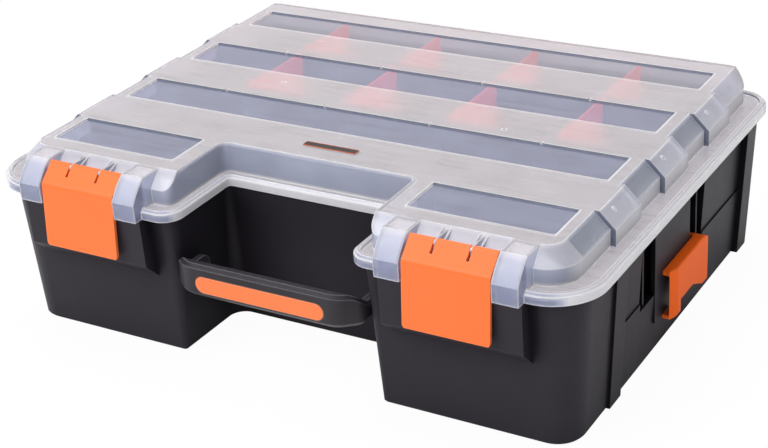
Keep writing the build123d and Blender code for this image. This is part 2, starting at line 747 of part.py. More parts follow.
# Side clips
for side in sides:
    clip_start = front_y + clip_front
    clip_end = clip_start + clip_length
    clip_top = clip_bottom + clip_height
    notch_front = clip_start + clip_leg
    notch_back = notch_front + clip_notch_length
    plate_in = clip_reach - clip_wall
    flange_in = pad_reach + clip_gap
    with BuildPart() as clip:
        add(run_y(
            [(side * x, z) for x, z in (
                (flange_in, clip_bottom), (clip_reach, clip_bottom), (clip_reach, clip_top), (flange_in, clip_top),
                (flange_in, clip_top - clip_wall), (plate_in, clip_top - clip_wall),
                (plate_in, clip_bottom + clip_wall), (flange_in, clip_bottom + clip_wall))],
            clip_mid_y, clip_length, [0, 1.2, 1.2, 0, 0, 1.0, 1.0, 0]))
        add(run_x(
            [(clip_start, clip_bottom), (notch_front, clip_bottom), (notch_front, clip_bottom + clip_notch_rise),
             (notch_back, clip_bottom + clip_notch_rise), (notch_back + clip_notch_slope, clip_bottom),
             (clip_end, clip_bottom), (clip_end, clip_top), (clip_start, clip_top)],
            side * clip_reach, 2 * (clip_reach - groove_floor),
            [1.0, 1.0, 0, 3.0, 3.0, clip_foot_corner, clip_top_corner, 1.0]), mode=Mode.INTERSECT)
        with BuildSketch(Plane.XY.offset(clip_bottom)):
            with BuildLine():
                Polyline(
                    (side * flange_in, clip_start), (side * plate_in, clip_start),
                    (side * clip_reach, clip_start + clip_bevel), (side * clip_reach, clip_end - clip_bevel / 2),
                    (side * plate_in, clip_end), (side * flange_in, clip_end), close=True)
            make_face()
        extrude(amount=clip_height, mode=Mode.INTERSECT)
        web_front = rail_mid_y + pad_half + clip_gap
        web_back = rail_mid_y + groove_end - guide_rib_offset - guide_rib_width - clip_gap
        web_z = (clip_groove_bottom + clip_gap, clip_top - clip_wall)
        for web_y in (web_front, web_back - clip_wall):
            add(block((side * (groove_floor + 1.5), side * (plate_in + 1)), (web_y, web_y + clip_wall), web_z))
        add(block((side * (groove_floor + 1.5), side * (groove_floor + 1.5 + hook_thick)),
                  (web_front + clip_wall, web_front - hook_length), web_z))
    name = "side_clip_left" if side < 0 else "side_clip_right"
    clip.part.label = name
    export_step(clip.part, f"parts/{name}.step")

# Dividers, counted from the left; row 1 is the back row
for row in range(1, divider_rows + 1):
    divider_front = partition_ys[-row] + partition_wall / 2 + divider_play
    for column, x in enumerate(column_xs, start=1):
        if row == 1:
            foot_back = back_y - tub_wall - divider_play
            rear = [(foot_back + spread * (divider_height - tub_floor), divider_height), (foot_back, tub_floor)]
        else:
            foot_back = partition_ys[1 - row] - partition_wall / 2 - divider_play
            rear = [(foot_back, divider_height), (foot_back, tub_floor)]
        with BuildPart() as divider:
            add(run_x([(divider_front, tub_floor), (divider_front, divider_height), *rear], x, divider_wall,
                      [0, divider_round, divider_round, 0]))
        name = f"divider_row{row}_{column}"
        divider.part.label = name
        export_step(divider.part, f"parts/{name}.step")

# Hinge pins
for side in sides:
    with BuildPart() as hinge_pin:
        pin_half = hinge_width / 2 - hinge_pin_inset
        add(rod(hinge_y, hinge_z, hinge_pin_radius, (side * hinge_x - pin_half, side * hinge_x + pin_half)))
    name = "hinge_pin_left" if side < 0 else "hinge_pin_right"
    hinge_pin.part.label = name
    export_step(hinge_pin.part, f"parts/{name}.step")
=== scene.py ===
"""Workshop organizer case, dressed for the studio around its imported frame.

The case is a black moulded tub under a frosted lid with clear panes. It has orange latches,
side clips and a grip inlay, and coral dividers that show through the lid.
"""

from __future__ import annotations

import logging
import math
from dataclasses import dataclass
from enum import Enum
from functools import reduce
from typing import Any

import bpy
from mathutils import Matrix, Vector


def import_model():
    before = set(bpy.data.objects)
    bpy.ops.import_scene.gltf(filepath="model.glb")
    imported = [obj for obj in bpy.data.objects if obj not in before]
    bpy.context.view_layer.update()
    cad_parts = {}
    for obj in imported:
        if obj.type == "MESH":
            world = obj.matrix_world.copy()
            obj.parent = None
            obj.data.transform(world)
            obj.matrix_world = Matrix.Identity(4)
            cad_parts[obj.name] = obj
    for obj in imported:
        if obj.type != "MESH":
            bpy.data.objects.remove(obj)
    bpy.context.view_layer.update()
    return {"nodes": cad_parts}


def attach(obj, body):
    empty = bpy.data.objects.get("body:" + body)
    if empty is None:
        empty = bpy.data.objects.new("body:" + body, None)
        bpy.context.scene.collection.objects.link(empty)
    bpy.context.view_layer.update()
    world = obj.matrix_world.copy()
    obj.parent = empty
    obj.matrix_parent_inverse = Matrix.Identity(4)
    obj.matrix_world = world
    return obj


log = logging.getLogger("organizer_case")
MM = 0.001
PLASTIC_IOR = 1.49
# Rays for each rounded edge and each recess that the shading looks for
SHADING_SAMPLES = 4
# Cosines between the rounded and the flat normal where an edge starts and where it is full
EDGE_COSINES = (0.995, 0.85)

Socket = bpy.types.NodeSocket
Nodes = dict[str, bpy.types.Object]
# Centre and half sizes along x and y, in millimetres
Rectangle = tuple[float, float, float, float]
# Where a value is 0 and where it is 1, in millimetres
Span = tuple[float, float]


class Side(Enum):
    """The two mirrored sides of the case."""

    LEFT = -1
    RIGHT = 1


def linear(code: str) -> tuple[float, float, float, float]:
    """Turns an sRGB hex colour into the linear one that shaders take.

    Args:
        code: Six hex digits, with or without a leading hash.

    Returns:
        Linear red, green and blue, then full opacity.
    """
    digits = code.lstrip("#")
    shares = [int(digits[at : at + 2], 16) / 255 for at in (0, 2, 4)]
    red, green, blue = (
        share / 12.92 if share <= 0.04045 else ((share + 0.055) / 1.055) ** 2.4
        for share in shares
    )
    return red, green, blue, 1.0


def add_node(
    tree: bpy.types.NodeTree,
    kind: str,
    inputs: dict[str | int, Any] | None = None,
    **settings: Any,
) -> bpy.types.Node:
    """Adds one node with its settings, values and links.

    Args:
        tree: The tree that gets the node.
        kind: Blender's name for the kind of node.
        inputs: Socket name or number, with the value or the socket that feeds it.
        **settings: Properties of the node itself.

    Returns:
        The new node.
    """
    node = tree.nodes.new(kind)
    for name, value in settings.items():
        setattr(node, name, value)
    for name, value in (inputs or {}).items():
        if isinstance(value, bpy.types.NodeSocket):
            tree.links.new(value, node.inputs[name])
        else:
            node.inputs[name].default_value = value
    return node


def math_of(tree: bpy.types.NodeTree, operation: str, *values: Any) -> Socket:
    """Adds a Math node.

    Args:
        tree: The tree that gets the node.
        operation: What the node works out.
        *values: Numbers or sockets, in order.

    Returns:
        The result's socket.
    """
    node = add_node(tree, "ShaderNodeMath", dict(enumerate(values)), operation=operation)
    return node.outputs[0]


def fold_of(tree: bpy.types.NodeTree, operation: str, *values: Any) -> Socket:
    """Joins any number of values with one operation, from the first to the last.

    Args:
        tree: The tree that gets the nodes.
        operation: What each node works out.
        *values: Numbers or sockets, in order.

    Returns:
        The result's socket.
    """
    return reduce(lambda left, right: math_of(tree, operation, left, right), values)


def ray_is(tree: bpy.types.NodeTree, *kinds: str) -> Socket:
    """Gives the socket that is 1 for rays of the named kinds and 0 for others."""
    path = add_node(tree, "ShaderNodeLightPath")
    return fold_of(tree, "MAXIMUM", *(path.outputs[f"Is {kind} Ray"] for kind in kinds))


def axes_of(tree: bpy.types.NodeTree, vector: Socket) -> bpy.types.bpy_prop_collection:
    """Gives the X, Y and Z sockets of a vector."""
    return add_node(tree, "ShaderNodeSeparateXYZ", {"Vector": vector}).outputs


def new_material(name: str) -> tuple[bpy.types.Material, bpy.types.NodeTree, Socket]:
    """Starts a node material.

    Args:
        name: The material's name.

    Returns:
        The material, its emptied tree and the surface socket of its output.
    """
    material = bpy.data.materials.new(name)
    material.use_nodes = True
    tree = material.node_tree
    tree.nodes.clear()
    output = add_node(tree, "ShaderNodeOutputMaterial")
    return material, tree, output.inputs["Surface"]


def object_place(tree: bpy.types.NodeTree) -> Socket:
    """Gives the socket with a point's place on the object, in metres."""
    return add_node(tree, "ShaderNodeTexCoord").outputs["Object"]


def noise_of(tree: bpy.types.NodeTree, pitch_mm: float, detail: float = 2.0) -> Socket:
    """Adds smooth noise of a real size.

    Args:
        tree: The tree that gets the nodes.
        pitch_mm: Size of one blotch, in millimetres.
        detail: How many finer layers lie on top.

    Returns:
        The socket with values about a half.
    """
    node = add_node(
        tree,
        "ShaderNodeTexNoise",
        {"Vector": object_place(tree), "Scale": 1 / (pitch_mm * MM), "Detail": detail},
    )
    return node.outputs["Fac"]


def centred(tree: bpy.types.NodeTree, noise: Socket, spread: float) -> Socket:
    """Scales noise about a half to values about 0."""
    return math_of(tree, "MULTIPLY_ADD", noise, spread, -spread / 2)


def edge_rounding_and_highlight(tree: bpy.types.NodeTree, radius_mm: float) -> tuple[Socket, Socket]:
    """Finds moulded edges, rounds them in the shading and marks them for a painted highlight.

    Args:
        tree: The tree that gets the nodes.
        radius_mm: Radius of the moulded edge.

    Returns:
        The rounded normal, and a value from 0 on flats to 1 on edges.
    """
    rounded = add_node(
        tree, "ShaderNodeBevel", {"Radius": radius_mm * MM}, samples=SHADING_SAMPLES
    )
    flat = add_node(tree, "ShaderNodeNewGeometry")
    along = add_node(
        tree,
        "ShaderNodeVectorMath",
        {0: rounded.outputs["Normal"], 1: flat.outputs["True Normal"]},
        operation="DOT_PRODUCT",
    )
    start, full = EDGE_COSINES
    edge = add_node(
        tree,
        "ShaderNodeMapRange",
        {"Value": along.outputs["Value"], "From Min": start, "From Max": full},
    )
    return rounded.outputs["Normal"], edge.outputs["Result"]


def blend_colours(tree: bpy.types.NodeTree, share: Socket, low: Any, high: Any) -> Socket:
    """Mixes two colours.

    Args:
        tree: The tree that gets the node.
        share: How much of the second colour shows.
        low: The first colour or its socket.
        high: The second colour or its socket.

    Returns:
        The mixed colour's socket.
    """
    node = add_node(tree, "ShaderNodeMix", data_type="RGBA")
    for index, value in ((0, share), (6, low), (7, high)):
        if isinstance(value, bpy.types.NodeSocket):
            tree.links.new(value, node.inputs[index])
        else:
            node.inputs[index].default_value = value
    return node.outputs[2]


def blend_values(tree: bpy.types.NodeTree, share: Socket, low: Any, high: Any) -> Socket:
    """Mixes two numbers.

    Args:
        tree: The tree that gets the node.
        share: How much of the second number counts.
        low: The first number or its socket.
        high: The second number or its socket.

    Returns:
        The mixed number's socket.
    """
    return add_node(tree, "ShaderNodeMix", {0: share, 2: low, 3: high}).outputs[0]


def blend_shaders(tree: bpy.types.NodeTree, share: Any, low: Socket, high: Socket) -> Socket:
    """Mixes two shaders.

    Args:
        tree: The tree that gets the node.
        share: How much of the second shader shows.
        low: The first shader's socket.
        high: The second shader's socket.

    Returns:
        The mixed shader's socket.
    """
    mixed = add_node(tree, "ShaderNodeMixShader", {0: share, 1: low, 2: high})
    return mixed.outputs["Shader"]


def share_between(tree: bpy.types.NodeTree, length: Socket, span: Span) -> Socket:
    """Gives a value that grows from 0 to 1 while a length goes along a span.

    Args:
        tree: The tree that gets the node.
        length: The length's socket, in metres.
        span: Where the value is 0 and where it is 1, in millimetres.

    Returns:
        The value's socket.
    """
    start, end = span
    ends = {"Value": length, "From Min": start * MM, "From Max": end * MM}
    return add_node(tree, "ShaderNodeMapRange", ends).outputs["Result"]


def depth_inside(tree: bpy.types.NodeTree, rectangles: tuple[Rectangle, ...]) -> Socket:
    """Measures how deep a point lies inside rectangles of the plan, on both sides of the case.

    Args:
        tree: The tree that gets the nodes.
        rectangles: Centre and half sizes along x and y, in millimetres.

    Returns:
        The depth's socket in metres, below 0 outside.
    """
    place = axes_of(tree, object_place(tree))
    across = math_of(tree, "ABSOLUTE", place["X"])
    depths = []
    for centre_x, centre_y, half_x, half_y in rectangles:
        rooms = []
        for at, centre, half in ((across, centre_x, half_x), (place["Y"], centre_y, half_y)):
            off = math_of(tree, "ABSOLUTE", math_of(tree, "SUBTRACT", at, centre * MM))
            rooms.append(math_of(tree, "SUBTRACT", half * MM, off))
        depths.append(math_of(tree, "MINIMUM", *rooms))
    return fold_of(tree, "MAXIMUM", *depths)


@dataclass(frozen=True)
class MouldedPlastic:
    """Injection-moulded polypropylene from a spark-eroded mould.

    The mould leaves a fine even grain, so highlights are broad and soft. Flow gives a faint
    cloudiness, and the edges that the mould rounds get a thin painted highlight in a paler colour.
    Thin coloured plates also let light through, and a small painted glow stands for the light
    that spreads inside them. Where a recess size is given, painted shade darkens the colour and
    the gloss of the plastic in recesses.
    """

    name: str
    colour: str
    # Paler tone of the clouds and of the painted highlight on edges
    edge_colour: str
    roughness: float = 0.42
    grain_mm: float = 0.7
    grain_depth: float = 0.05
    cloud_mm: float = 28.0
    cloud_share: float = 0.12
    # Radius of the rounded edges, and the share of the painted highlight on them
    edge_mm: float = 0.7
    edge_share: float = 0.5
    specular: float = 0.5
    light_through: float = 0.0
    # Strength of a painted glow in the plastic's own colour
    painted_glow: float = 0.0
    # Reach and strength of the painted shade in recesses
    recess_shade_mm: float = 0.0
    recess_shade_power: float = 1.5
    grain_height_mm: float = 0.1
    gloss_mm: float = 6.0
    gloss_share: float = 0.08

    def build(self) -> bpy.types.Material:
        """Builds the material."""
        material, tree, surface = new_material(self.name)
        normal, edge = edge_rounding_and_highlight(tree, self.edge_mm)
        # The real grain is about 0.1 mm, drawn coarser so that it shows at all
        grain = add_node(
            tree,
            "ShaderNodeBump",
            {
                "Height": noise_of(tree, self.grain_mm),
                "Strength": self.grain_depth,
                "Distance": self.grain_height_mm * MM,
                "Normal": normal,
            },
        )
        clouds = noise_of(tree, self.cloud_mm, detail=3.0)
        cloud = math_of(tree, "MULTIPLY", clouds, self.cloud_share)
        base = linear(self.colour)
        pale = linear(self.edge_colour)
        # Paler clouds, then a painted highlight in the paler colour along the edges
        tone_and_painted_light = blend_colours(
            tree,
            math_of(tree, "MULTIPLY", edge, self.edge_share),
            blend_colours(tree, cloud, base, pale),
            pale,
        )
        specular: float | Socket = self.specular
        # Painted shade: colour and gloss darken where the plastic is enclosed by itself
        if self.recess_shade_mm > 0:
            around = add_node(
                tree,
                "ShaderNodeAmbientOcclusion",
                {"Color": tone_and_painted_light, "Distance": self.recess_shade_mm * MM},
                samples=SHADING_SAMPLES,
                only_local=True,
            )
            open_share = math_of(tree, "POWER", around.outputs["AO"], self.recess_shade_power)
            tone_and_painted_light = blend_colours(tree, open_share, linear("#000000"), tone_and_painted_light)
            specular = math_of(tree, "MULTIPLY", open_share, self.specular)
        rough = math_of(
            tree,
            "MULTIPLY_ADD",
            noise_of(tree, self.gloss_mm),
            self.gloss_share,
            self.roughness - self.gloss_share / 2,
        )
        shader = add_node(
            tree,
            "ShaderNodeBsdfPrincipled",
            {
                "Base Color": tone_and_painted_light,
                "Roughness": rough,
                "IOR": PLASTIC_IOR,
                "Specular IOR Level": specular,
                # The emission is the painted glow
                "Emission Color": base,
                "Emission Strength": self.painted_glow,
                "Normal": grain.outputs["Normal"],
            },
        )
        result = shader.outputs["BSDF"]
        if self.light_through > 0:
            behind = add_node(tree, "ShaderNodeBsdfTranslucent", {"Color": base})
            result = blend_shaders(tree, self.light_through, result, behind.outputs["BSDF"])
        tree.links.new(result, surface)
        return material


@dataclass(frozen=True)
class LidAreas:
    """Sockets that are 1 in one area of the lid and 0 outside it."""

    flat: Socket
    upright: Socket
    sloped: Socket
    pane: Socket
    # The slopes between the bands, with a darker, clearer tone set by place
    thin: Socket
    pale: Socket
    cheek: Socket
    cheek_top: Socket
    rear: Socket
    rear_low: Socket
    far: Socket
    # Painted highlights on edges and pane borders, and the pale rings of the marks
    white: Socket
    # Painted shade at the steps, painted shadow behind the panes, and the dimples of the marks
    dark: Socket


@dataclass(frozen=True)
class FrostedPlastic:
    """Natural polypropylene of the lid: milky, with polished panes that let more light through.

    The panes come from polished areas of the mould, so they are smoother and clearer than the
    frame. The other tones follow the look of the photograph, area by area: a warmer top in painted
    light over bluish walls in painted shade, darker slopes between the bands, a paler rim and side
    walls, white edges and pane borders in painted highlight, and painted shade lines at the steps
    and along the back of each pane.
    """

    name: str
    panes: tuple[Rectangle, ...]
    between_band_slopes: tuple[Rectangle, ...]
    step_walls: tuple[Rectangle, ...]
    marks: tuple[tuple[float, float, float], ...]
    # Painted light: the flat top is lighter and warmer, the upright walls bluer in painted shade
    lit_top_colour: str = "#E9E4E8"
    shaded_wall_colour: str = "#D6DCF2"
    pane_colour: str = "#CDD0EA"
    # Darker tone of the slopes between the bands, set by place
    between_slope_colour: str = "#C6CCDC"
    side_colour: str = "#F2F1F6"
    # Painted highlight on edges and pane borders, also the pale rings of the marks
    edge_colour: str = "#FFFFFF"
    # Painted shade lines at the steps and behind the panes, also the dimples of the marks
    shade_line_and_dimple_colour: str = "#6A7288"
    # Painted shade on the upright front faces of the cheeks
    cheek_shade_colour: str = "#A4AAC6"
    rear_pane_colour: str = "#CFCFDC"
    rear_colour: str = "#C2BEC4"
    rear_low_colour: str = "#6C6F80"
    passing_colour: str = "#F6F6F8"
    # How much of the light each area scatters instead of letting it through
    frame_milk: float = 0.29
    pane_milk: float = 0.19
    slope_milk: float = 0.37
    # The slopes between the bands are clearer, set by place
    between_slope_milk: float = 0.27
    wall_milk: float = 0.38
    rim_milk: float = 0.55
    # Milkier cheek tops, which look lighter as painted light from above
    cheek_top_milk: float = 0.55
    # The painted highlights on edges and borders are milkier
    edge_milk: float = 0.85
    # Milk of the painted shade lines and the dimples
    dark_milk: float = 0.6
    cloud_mm: float = 26.0
    cloud_share: float = 0.1
    streak_mm: tuple[float, float] = (60.0, 4.0)
    streak_share: float = 0.14
    frame_roughness: float = 0.22
    pane_roughness: float = 0.08
    edge_mm: float = 1.2
    # Soft outlines of the areas, by depth inside their rectangles
    pane_depth: Span = (0.0, 0.4)
    step_depth: Span = (0.0, 0.1)
    between_slope_depth: Span = (0.0, 0.3)
    # White pane borders, a painted highlight
    border_outside: Span = (-1.0, -0.6)
    border_inside: Span = (0.15, -0.1)
    border_share: float = 0.5
    # Painted shadow and reflection of the wall behind a pane: how far the middle of its strip lies
    # inside the pane, and its half width
    back_shadow_inset: float = 0.45
    back_shadow_half: float = 0.75
    # The two small marks on the top, by distance from their middle
    dimple_radius: Span = (1.1, 0.7)
    ring_radius: Span = (2.4, 1.6)
    ring_share: float = 0.5
    # Where areas start and where they are full, along one axis
    side_x: Span = (176.0, 178.0)
    side_power: float = 6.0
    rim_z: Span = (97.0, 95.5)
    rim_y: Span = (-141.5, -139.5)
    cheek_y: Span = (-141.0, -143.5)
    cheek_top_y: Span = (-127.0, -130.0)
    rear_y: Span = (124.0, 132.0)
    rear_low_z: Span = (99.5, 96.5)
    far_y: Span = (80.0, 95.0)

    def small_marks(self, tree: bpy.types.NodeTree) -> tuple[Socket, Socket]:
        """Finds the small marks on the top: a dimple in a pale ring.

        Args:
            tree: The tree that gets the nodes.

        Returns:
            A socket that is 1 in a dimple, and one that is 1 in it and its ring.
        """
        distances = [
            add_node(
                tree,
                "ShaderNodeVectorMath",
                {0: object_place(tree), 1: Vector(mark) * MM},
                operation="DISTANCE",
            ).outputs["Value"]
            for mark in self.marks
        ]
        nearest = fold_of(tree, "MINIMUM", *distances)
        dimple = share_between(tree, nearest, self.dimple_radius)
        return dimple, share_between(tree, nearest, self.ring_radius)

    def find_areas(self, tree: bpy.types.NodeTree, edge: Socket) -> LidAreas:
        """Finds the areas of the lid by place and by the way that the wall faces.

        Args:
            tree: The tree that gets the nodes.
            edge: The socket that is 1 on moulded edges.

        Returns:
            The socket of each area.
        """

        def along(axis: str, span: Span) -> Socket:
            """Grows from 0 to 1 along a span of one axis."""
            return share_between(tree, place[axis], span)

        def product(*shares: Any) -> Socket:
            """Multiplies shares, which leaves the place that all of them cover."""
            return fold_of(tree, "MULTIPLY", *shares)

        def highest(*shares: Any) -> Socket:
            """Takes the highest share, which covers the places of all of them."""
            return fold_of(tree, "MAXIMUM", *shares)

        place = axes_of(tree, object_place(tree))
        facing = axes_of(tree, add_node(tree, "ShaderNodeTexCoord").outputs["Normal"])
        flat = math_of(tree, "POWER", math_of(tree, "ABSOLUTE", facing["Z"]), 2.0)
        upright = math_of(tree, "SUBTRACT", 1.0, flat)
        # 1 on a 45 degree slope, 0 on flat tops and on upright walls
        sloped = product(flat, upright, 4.0)

        in_pane = depth_inside(tree, self.panes)
        border = product(
            share_between(tree, in_pane, self.border_outside),
            share_between(tree, in_pane, self.border_inside),
        )
        # Painted shadow and reflection: a dark strip along the back of each pane
        back_shadows = tuple(
            (x, y + half_y - self.back_shadow_inset, half_x, self.back_shadow_half)
            for x, y, half_x, half_y in self.panes
        )
        in_wall = depth_inside(tree, back_shadows + self.step_walls)
        dimple, ring = self.small_marks(tree)

        across = math_of(tree, "ABSOLUTE", place["X"])
        to_side = math_of(tree, "ABSOLUTE", facing["X"])
        sideways = product(
            math_of(tree, "POWER", to_side, self.side_power),
            share_between(tree, across, self.side_x),
        )
        rim = product(along("Z", self.rim_z), along("Y", self.rim_y), upright)
        # The slopes between the bands
        in_between_slopes = share_between(tree, depth_inside(tree, self.between_band_slopes), self.between_slope_depth)
        return LidAreas(
            flat=flat,
            upright=upright,
            sloped=sloped,
            pane=share_between(tree, in_pane, self.pane_depth),
            thin=product(in_between_slopes, sloped),
            pale=highest(rim, sideways),
            cheek=product(upright, along("Y", self.cheek_y)),
            cheek_top=product(sloped, along("Y", self.cheek_top_y)),
            rear=product(upright, along("Y", self.rear_y)),
            rear_low=along("Z", self.rear_low_z),
            far=along("Y", self.far_y),
            # White: painted highlights on edges and pane borders, and the pale rings of the marks
            white=highest(
                edge, product(border, self.border_share), product(ring, self.ring_share)
            ),
            # Dark: painted shade at the steps, painted shadow behind the panes, and the dimples
            dark=highest(share_between(tree, in_wall, self.step_depth), dimple),
        )

    def tint(self, tree: bpy.types.NodeTree, areas: LidAreas) -> Socket:
        """Gives the colour of each area, with later areas on top of earlier ones."""

        def blend(share: Socket, low: str, high: str) -> Socket:
            """Mixes two hex colours."""
            return blend_colours(tree, share, linear(low), linear(high))

        # Painted light on flat tops and painted shade on upright walls, by the way each faces
        colour = blend(areas.flat, self.shaded_wall_colour, self.lit_top_colour)
        layers = (
            (areas.pane, blend(areas.far, self.pane_colour, self.rear_pane_colour)),
            # Darker tone of the slopes between the bands
            (areas.thin, linear(self.between_slope_colour)),
            # Painted shade on the cheek fronts
            (areas.cheek, linear(self.cheek_shade_colour)),
            (areas.pale, linear(self.side_colour)),
            (areas.rear, blend(areas.rear_low, self.rear_colour, self.rear_low_colour)),
            # Painted highlights on edges and pane borders, and the pale rings of the marks
            (areas.white, linear(self.edge_colour)),
            # Painted shade lines at the steps and painted shadow behind the panes, and the dimples
            (areas.dark, linear(self.shade_line_and_dimple_colour)),
        )
        for share, tone in layers:
            colour = blend_colours(tree, share, colour, tone)
        return colour

    def milkiness(self, tree: bpy.types.NodeTree, areas: LidAreas) -> Socket:
        """Gives the share of the light that the plastic scatters instead of letting it through."""
        milk = blend_values(tree, areas.pane, self.frame_milk, self.pane_milk)
        walls = math_of(tree, "SUBTRACT", areas.upright, areas.sloped)
        for share, amount in (
            (walls, self.wall_milk),
            (areas.sloped, self.slope_milk),
            (areas.thin, self.between_slope_milk),
            (areas.pale, self.rim_milk),
            # The milkier cheek tops are lighter, as painted light from above
            (areas.cheek_top, self.cheek_top_milk),
        ):
            milk = blend_values(tree, share, milk, amount)
        cloud = centred(tree, noise_of(tree, self.cloud_mm), self.cloud_share)
        milk = math_of(tree, "ADD", milk, cloud)
        # Long faint streaks run across the case, and show on flat tops only
        along, across = (1 / (size * MM) for size in self.streak_mm)
        flow = add_node(
            tree,
            "ShaderNodeMapping",
            {"Vector": object_place(tree), "Scale": (along, across, across)},
        )
        noise = {"Vector": flow.outputs["Vector"], "Scale": 1.0, "Detail": 2.0}
        streaks = add_node(tree, "ShaderNodeTexNoise", noise).outputs["Fac"]
        streak = centred(tree, streaks, self.streak_share)
        milk = math_of(tree, "MULTIPLY_ADD", streak, areas.flat, milk)
        # The painted highlights are milkier as well
        milk = blend_values(tree, areas.white, milk, self.edge_milk)
        # Milk of the painted shade lines and the dimples
        return blend_values(tree, areas.dark, milk, self.dark_milk)

    def build(self) -> bpy.types.Material:
        """Builds the material."""
        material, tree, surface = new_material(self.name)
        normal, edge = edge_rounding_and_highlight(tree, self.edge_mm)
        areas = self.find_areas(tree, edge)
        milk = self.milkiness(tree, areas)
        shader = add_node(
            tree,
            "ShaderNodeBsdfPrincipled",
            {
                "Base Color": self.tint(tree, areas),
                "Roughness": blend_values(
                    tree, areas.pane, self.frame_roughness, self.pane_roughness
                ),
                "IOR": PLASTIC_IOR,
                "Transmission Weight": math_of(tree, "SUBTRACT", 1.0, milk),
                "Normal": normal,
            },
        )
        # Light passes the lid as if it were clear, which stands for the light that it scatters in
        through = add_node(
            tree, "ShaderNodeBsdfTransparent", {"Color": linear(self.passing_colour)}
        )
        light = ray_is(tree, "Shadow", "Diffuse")
        mixed = blend_shaders(tree, light, shader.outputs["BSDF"], through.outputs["BSDF"])
        tree.links.new(mixed, surface)
        return material


@dataclass(frozen=True)
class BlankPlate:
    """Dark glossy plate with a thin orange line printed round it, left without any marking."""

    outline: Rectangle
    name: str = "blank_plate_print"
    colour: str = "#1B1514"
    line_colour: str = "#C8521E"
    line_mm: float = 0.5
    line_blur_mm: float = 0.15
    roughness: float = 0.3

    def build(self) -> bpy.types.Material:
        """Builds the material."""
        material, tree, surface = new_material(self.name)
        depth = depth_inside(tree, (self.outline,))
        line = share_between(tree, depth, (self.line_mm + self.line_blur_mm, self.line_mm))
        colour = blend_colours(tree, line, linear(self.colour), linear(self.line_colour))
        shader = add_node(
            tree,
            "ShaderNodeBsdfPrincipled",
            {"Base Color": colour, "Roughness": self.roughness, "IOR": PLASTIC_IOR},
        )
        tree.links.new(shader.outputs["BSDF"], surface)
        return material


@dataclass(frozen=True)
class DrawnSteel:
    """Drawn steel wire of the hinge pins, with fine lines along its length."""

    name: str = "drawn_steel_wire"
    colour: str = "#B9BABC"
    # Lines for each metre along the wire and across it
    lines_per_m: tuple[float, float, float] = (40.0, 4000.0, 4000.0)
    line_depth_mm: float = 0.05
    line_strength: float = 0.2
    smoothest: float = 0.22
    roughness_spread: float = 0.15

    def build(self) -> bpy.types.Material:
        """Builds the material."""
        material, tree, surface = new_material(self.name)
        place = add_node(
            tree, "ShaderNodeMapping", {"Vector": object_place(tree), "Scale": self.lines_per_m}
        )
        noise = {"Vector": place.outputs["Vector"], "Scale": 1.0}
        lines = add_node(tree, "ShaderNodeTexNoise", noise).outputs["Fac"]
        bump = add_node(
            tree,
            "ShaderNodeBump",
            {
                "Height": lines,
                "Strength": self.line_strength,
                "Distance": self.line_depth_mm * MM,
            },
        )
        rough = math_of(tree, "MULTIPLY_ADD", lines, self.roughness_spread, self.smoothest)
        shader = add_node(
            tree,
            "ShaderNodeBsdfPrincipled",
            {
                "Base Color": linear(self.colour),
                "Metallic": 1.0,
                "Roughness": rough,
                "Normal": bump.outputs["Normal"],
            },
        )
        tree.links.new(shader.outputs["BSDF"], surface)
        return material


def dress(node: bpy.types.Object, material: bpy.types.Material) -> None:
    """Gives a CAD node its finish through its material slots.

    Args:
        node: The node's object.
        material: The finish.
    """
    if not node.material_slots:
        node.data.materials.append(material)
    for slot in node.material_slots:
        slot.material = material
    log.info("%s: %s", node.name, material.name)


@dataclass
class Tub:
    """The black tub with its partitions."""

    row_partitions: int = 3
    finish: MouldedPlastic = MouldedPlastic(
        name="black_moulded_polypropylene",
        colour="#2D2A31",
        # Paler tone of the clouds and of the painted edge highlight
        edge_colour="#56535B",
        specular=0.12,
        # Painted shade darkens the tub's recesses
        recess_shade_mm=120.0,
    )

    def dress(self, nodes: Nodes) -> None:
        """Dresses the tub, its partitions and its hinge pins."""
        black = self.finish.build()
        dress(nodes["base_tub"], black)
        for row in range(1, self.row_partitions + 1):
            dress(nodes[f"row_partition_{row}"], black)
        wire = DrawnSteel().build()
        for side in Side:
            dress(nodes[f"bay_partition_{side.name.lower()}"], black)
            dress(nodes[f"hinge_pin_{side.name.lower()}"], wire)


